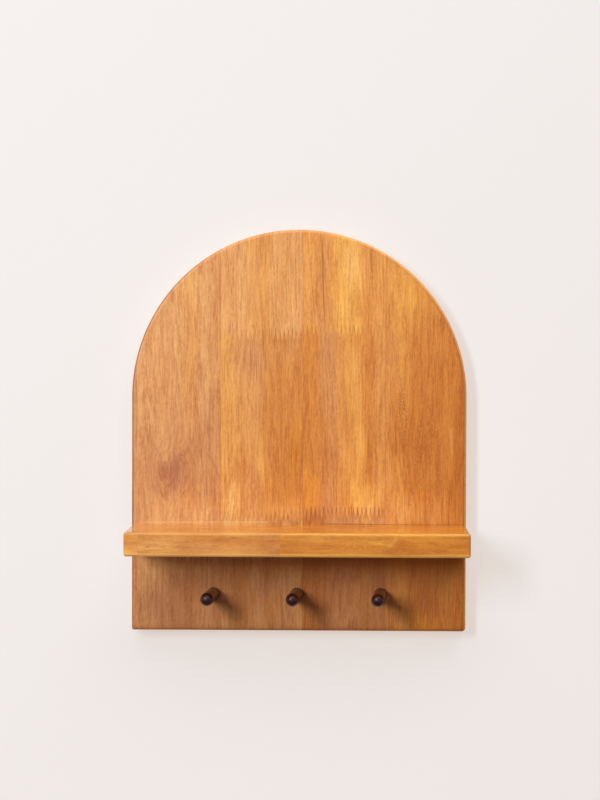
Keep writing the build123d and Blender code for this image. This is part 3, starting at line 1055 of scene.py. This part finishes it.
def cleaned(name, source, flat):
    """A copy of a mesh without split corners, slivers and lines across faces flat to that angle."""
    shape = bmesh.new()
    shape.from_mesh(source)
    bmesh.ops.remove_doubles(shape, verts=shape.verts, dist=WELD)
    bmesh.ops.dissolve_degenerate(shape, edges=shape.edges, dist=WELD)
    bmesh.ops.dissolve_limit(
        shape, angle_limit=flat, use_dissolve_boundaries=False, verts=shape.verts, edges=shape.edges,
    )
    mesh = bpy.data.meshes.new(name)
    shape.to_mesh(mesh)
    shape.free()
    return mesh


def shade_evenly(mesh):
    """Smooth shading led by the large faces, and none across a fold."""
    around = [[] for _ in mesh.vertices]
    for face in mesh.polygons:
        face.use_smooth = True
        for corner in face.vertices:
            around[corner].append(face)
    normals = []
    for face in mesh.polygons:
        for corner in face.vertices:
            near = [other for other in around[corner] if other.normal.dot(face.normal) > FOLD]
            normals.append(sum((other.normal * other.area for other in near), Vector()).normalized())
    mesh.normals_split_custom_set(normals)


def sanded(name, node, blank, material):
    """The piece that stands for a construction node, cut to the sanded shape of the blank."""
    piece = new_piece(name, cleaned(name, frame["nodes"][node].data, FLAT_BEFORE))
    cut = piece.modifiers.new("sanding", "BOOLEAN")
    cut.operation = "INTERSECT"
    cut.solver = "EXACT"
    cut.object = blank
    piece.data = cleaned(name, worked(piece), FLAT_AFTER)
    shade_evenly(piece.data)
    dress(piece, material)
    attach(piece, "root")
    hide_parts(node)


def dress(piece, material):
    piece.data.materials.clear()
    piece.data.materials.append(material)


BOARD_SEED = 1     # of the grain in the first piece of the backboard; the next pieces count on
SHELF_SEED = 21    # and of the shelf


def sand_timbers(timbers, start, new_start, blank, first_seed):
    """Sands and stains a piece for each timber; its name is the node's with another start."""
    tint = tuple(bpy.context.scene.peg_shelf_colours.stain)
    for seed, (node, timber) in enumerate(timbers.items(), first_seed):
        name = node.replace(start, new_start, 1)
        stain = pine_material("pine_" + name, timber, timbers is SHELF_TIMBERS, seed, tint)
        sanded(name, node, blank, stain)
    bpy.data.objects.remove(blank)


def dress_node(node, material):
    slots = frame["nodes"][node].material_slots
    if not slots:
        raise RuntimeError(node + " has no material slot")
    for slot in slots:
        slot.material = material


# ---- operators ----


class PEGSHELF_OT_backboard(bpy.types.Operator):
    """Sands and stains the staves and blocks of the backboard"""

    bl_idname = "peg_shelf.backboard"
    bl_label = "Backboard"

    def execute(self, context):
        blank = rounded_board(context.scene.peg_shelf_sizes)
        sand_timbers(BOARD_TIMBERS, "board_", "", blank, BOARD_SEED)
        return {"FINISHED"}


class PEGSHELF_OT_shelf(bpy.types.Operator):
    """Sands and stains the blocks of the shelf"""

    bl_idname = "peg_shelf.shelf"
    bl_label = "Shelf"

    def execute(self, context):
        blank = rounded_shelf(context.scene.peg_shelf_sizes)
        sand_timbers(SHELF_TIMBERS, "shelf_", "ledge_", blank, SHELF_SEED)
        return {"FINISHED"}


class PEGSHELF_OT_pegs(bpy.types.Operator):
    """Shapes and stains the three pegs"""

    bl_idname = "peg_shelf.pegs"
    bl_label = "Pegs"

    def execute(self, context):
        colours = context.scene.peg_shelf_colours
        for node in PEGS:
            blank = worn_peg(node, context.scene.peg_shelf_sizes.peg_waist)
            tip_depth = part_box(node)[0].y / MM
            stain = peg_material("stain_" + node, colours, tip_depth)
            sanded(node.replace("peg", "dowel"), node, blank, stain)
            bpy.data.objects.remove(blank)
        return {"FINISHED"}


class PEGSHELF_OT_metalwork(bpy.types.Operator):
    """Plates the hanger plates and the screws"""

    bl_idname = "peg_shelf.metalwork"
    bl_label = "Metalwork"

    def execute(self, context):
        colours = context.scene.peg_shelf_colours
        zinc = plated_material("bright_zinc", tuple(colours.zinc))
        yellow = plated_material("yellow_zinc", tuple(colours.yellow_zinc))
        for node in PLATES:
            dress_node(node, zinc)
        for node in SCREWS:
            dress_node(node, yellow)
        return {"FINISHED"}


WALL_GAP = 0.4 * MM           # between the backboard and the wall
WALL_HOLE_INSET = 1.2 * MM    # how far the edge of the opening lies behind the backboard's
WALL_HOLE_CORNER = 5 * MM
WALL_REACH = 14.0             # how many times as far out as the opening the wall goes
FLOOR_REACH = 5.0             # half the side of the floor, in metres
AIM = Vector((0, -0.05, -0.04))    # where the lamps point
BEHIND_LEVEL = 0.6            # brightness from the lamp behind the wall, on a white wall


def wall_mesh():
    """A wall with an opening that the backboard covers, so that light reaches its back."""
    shape = bmesh.new()
    inner = []
    outer = []
    for point, out, _ in arch_outline(WALL_HOLE_CORNER, WALL_HOLE_CORNER):
        x, z = inside(point, out, WALL_HOLE_INSET)
        inner.append(shape.verts.new((x, WALL_GAP, z)))
        outer.append(shape.verts.new((x * WALL_REACH, WALL_GAP, z * WALL_REACH)))
    for n in range(len(inner)):
        after = (n + 1) % len(inner)
        face = shape.faces.new((inner[n], outer[n], outer[after], inner[after]))
        face.normal_update()
        if face.normal.y > 0:
            face.normal_flip()
    mesh = bpy.data.meshes.new("wall")
    shape.to_mesh(mesh)
    shape.free()
    return mesh


def floor_mesh(drop):
    mesh = bpy.data.meshes.new("floor")
    corners = [(x * FLOOR_REACH, y * FLOOR_REACH, -drop) for x, y in ((-1, -1), (1, -1), (1, 1), (-1, 1))]
    mesh.from_pydata(corners, [], [(0, 1, 2, 3)])
    return mesh


def paint_material(name, tone, shadow_depth, bounce):
    """Matt paint with faint shadows to the camera, which a view from behind looks through."""
    material, graph, shader = new_material(name)
    material.cycles.emission_sampling = "NONE"
    seen = graph.add("ShaderNodeLightPath").outputs["Is Camera Ray"]
    sent_back = tuple(channel * bounce for channel in tone)
    shaded = tuple(channel * depth for channel, depth in zip(tone, shadow_depth))
    steady = tuple(channel * (1 - depth) for channel, depth in zip(tone, shadow_depth))
    graph.feed(shader.inputs["Base Color"], graph.mix(seen, sent_back, shaded))
    shader.inputs["Roughness"].default_value = 0.9
    shader.inputs["Specular IOR Level"].default_value = 0.1
    glow = graph.add("ShaderNodeEmission")
    glow.inputs["Color"].default_value = (*steady, 1)
    graph.feed(glow.inputs["Strength"], seen)
    lift = graph.add("ShaderNodeAddShader")
    graph.feed(lift.inputs[0], shader.outputs[0])
    graph.feed(lift.inputs[1], glow.outputs[0])
    clear = graph.add("ShaderNodeBsdfTransparent")
    behind = graph.add("ShaderNodeNewGeometry").outputs["Backfacing"]
    pick = graph.add("ShaderNodeMixShader")
    graph.feed(pick.inputs[0], behind)
    graph.feed(pick.inputs[1], lift.outputs[0])
    graph.feed(pick.inputs[2], clear.outputs[0])
    graph.feed(material.node_tree.nodes["Material Output"].inputs["Surface"], pick.outputs[0])
    return material


def area_lamp(name, direction, distance, size, level):
    """A lamp of (width, height) aimed at the shelf, adding level to a white wall's brightness."""
    towards = Vector(direction).normalized()
    lamp = bpy.data.lights.new(name, "AREA")
    lamp.shape = "RECTANGLE"
    lamp.size, lamp.size_y = size
    lamp.energy = level * math.pi ** 2 * distance ** 2 / abs(towards.y)
    across = Vector((0, 0, 1)).cross(towards).normalized()
    turn = Matrix((across, towards.cross(across), towards)).transposed().to_4x4()
    holder = bpy.data.objects.new(name, lamp)
    holder.matrix_world = Matrix.Translation(AIM + towards * distance) @ turn
    bpy.context.scene.collection.objects.link(holder)


def light_room(stage):
    area_lamp("window", (-0.55, -1.0, 0.34), 3.0, (0.45, 1.15), stage.window_level)
    area_lamp("skylight", (0.05, -0.82, 1.1), 4.5, (5.0, 1.8), stage.skylight_level)
    area_lamp("behind", (0.5, 1.0, 0.6), 3.0, (1.6, 1.6), BEHIND_LEVEL)
    world = bpy.data.worlds.new("room")
    world.use_nodes = True
    graph = Graph(world.node_tree)
    sky = world.node_tree.nodes["Background"]
    sky.inputs["Color"].default_value = (*tuple(stage.wall), 1)
    paths = graph.add("ShaderNodeLightPath").outputs
    seen = paths["Is Camera Ray"]
    for kind in ("Is Glossy Ray", "Is Transmission Ray"):
        seen = graph.plus(seen, paths[kind], clamp=True)
    graph.feed(sky.inputs["Strength"], graph.span(seen, 0, 1, stage.room_level, 1.0))
    bpy.context.scene.world = world


CAMERA_PLACE = (0.0385, -2.050, 0.0583)
CAMERA_YAW, CAMERA_PITCH, CAMERA_ROLL = -1.062, -1.714, 0.188    # in degrees
CAMERA_SENSOR, CAMERA_LENS = 36, 102.03                          # in millimetres


def place_camera():
    yaw, pitch, roll = map(math.radians, (CAMERA_YAW, CAMERA_PITCH, CAMERA_ROLL))
    forward = Vector((math.sin(yaw) * math.cos(pitch), math.cos(yaw) * math.cos(pitch), math.sin(pitch)))
    level = Vector((math.cos(yaw), -math.sin(yaw), 0))
    upright = level.cross(forward)
    right = math.cos(roll) * level + math.sin(roll) * upright
    up = math.cos(roll) * upright - math.sin(roll) * level
    data = bpy.data.cameras.new("camera")
    data.sensor_width = CAMERA_SENSOR
    data.lens = CAMERA_LENS
    camera = bpy.data.objects.new("camera", data)
    turn = Matrix((right, up, -forward)).transposed().to_4x4()
    camera.matrix_world = Matrix.Translation(CAMERA_PLACE) @ turn
    bpy.context.scene.collection.objects.link(camera)
    bpy.context.scene.camera = camera


class PEGSHELF_OT_stage(bpy.types.Operator):
    """Puts up the wall, the floor, the light and the camera"""

    bl_idname = "peg_shelf.stage"
    bl_label = "Stage"

    def execute(self, context):
        stage = context.scene.peg_shelf_stage
        wall = new_piece("wall", wall_mesh())
        floor = new_piece("floor", floor_mesh(stage.floor_drop))
        dress(wall, paint_material("wall_paint", stage.wall, stage.shadow_depth, 1.0))
        dress(floor, paint_material("floor_paint", stage.wall, stage.shadow_depth, stage.floor_level))
        light_room(stage)
        place_camera()
        context.scene.view_settings.view_transform = "Standard"
        return {"FINISHED"}


class PEGSHELF_PT_sidebar(bpy.types.Panel):
    """Sizes, colours and steps of the peg shelf"""

    bl_idname = "PEGSHELF_PT_sidebar"
    bl_label = "Peg Shelf"
    bl_space_type = "VIEW_3D"
    bl_region_type = "UI"
    bl_category = "Peg Shelf"

    def draw(self, context):
        scene = context.scene
        for settings in (scene.peg_shelf_sizes, scene.peg_shelf_colours, scene.peg_shelf_stage):
            column = self.layout.column(align=True)
            for name in settings.__annotations__:
                column.prop(settings, name)
        for step in STEPS:
            self.layout.operator(step.bl_idname)


STEPS = (
    PEGSHELF_OT_backboard,
    PEGSHELF_OT_shelf,
    PEGSHELF_OT_pegs,
    PEGSHELF_OT_metalwork,
    PEGSHELF_OT_stage,
)
CLASSES = (PegShelfSizes, PegShelfColours, PegShelfStage, *STEPS, PEGSHELF_PT_sidebar)


def register():
    for cls in CLASSES:
        bpy.utils.register_class(cls)
    bpy.types.Scene.peg_shelf_sizes = PointerProperty(type=PegShelfSizes)
    bpy.types.Scene.peg_shelf_colours = PointerProperty(type=PegShelfColours)
    bpy.types.Scene.peg_shelf_stage = PointerProperty(type=PegShelfStage)


def unregister():
    del bpy.types.Scene.peg_shelf_stage
    del bpy.types.Scene.peg_shelf_colours
    del bpy.types.Scene.peg_shelf_sizes
    for cls in reversed(CLASSES):
        bpy.utils.unregister_class(cls)


def main():
    register()
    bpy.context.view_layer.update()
    for step in STEPS:
        group, name = step.bl_idname.split(".")
        getattr(getattr(bpy.ops, group), name)()


if __name__ == "__main__":
    main()
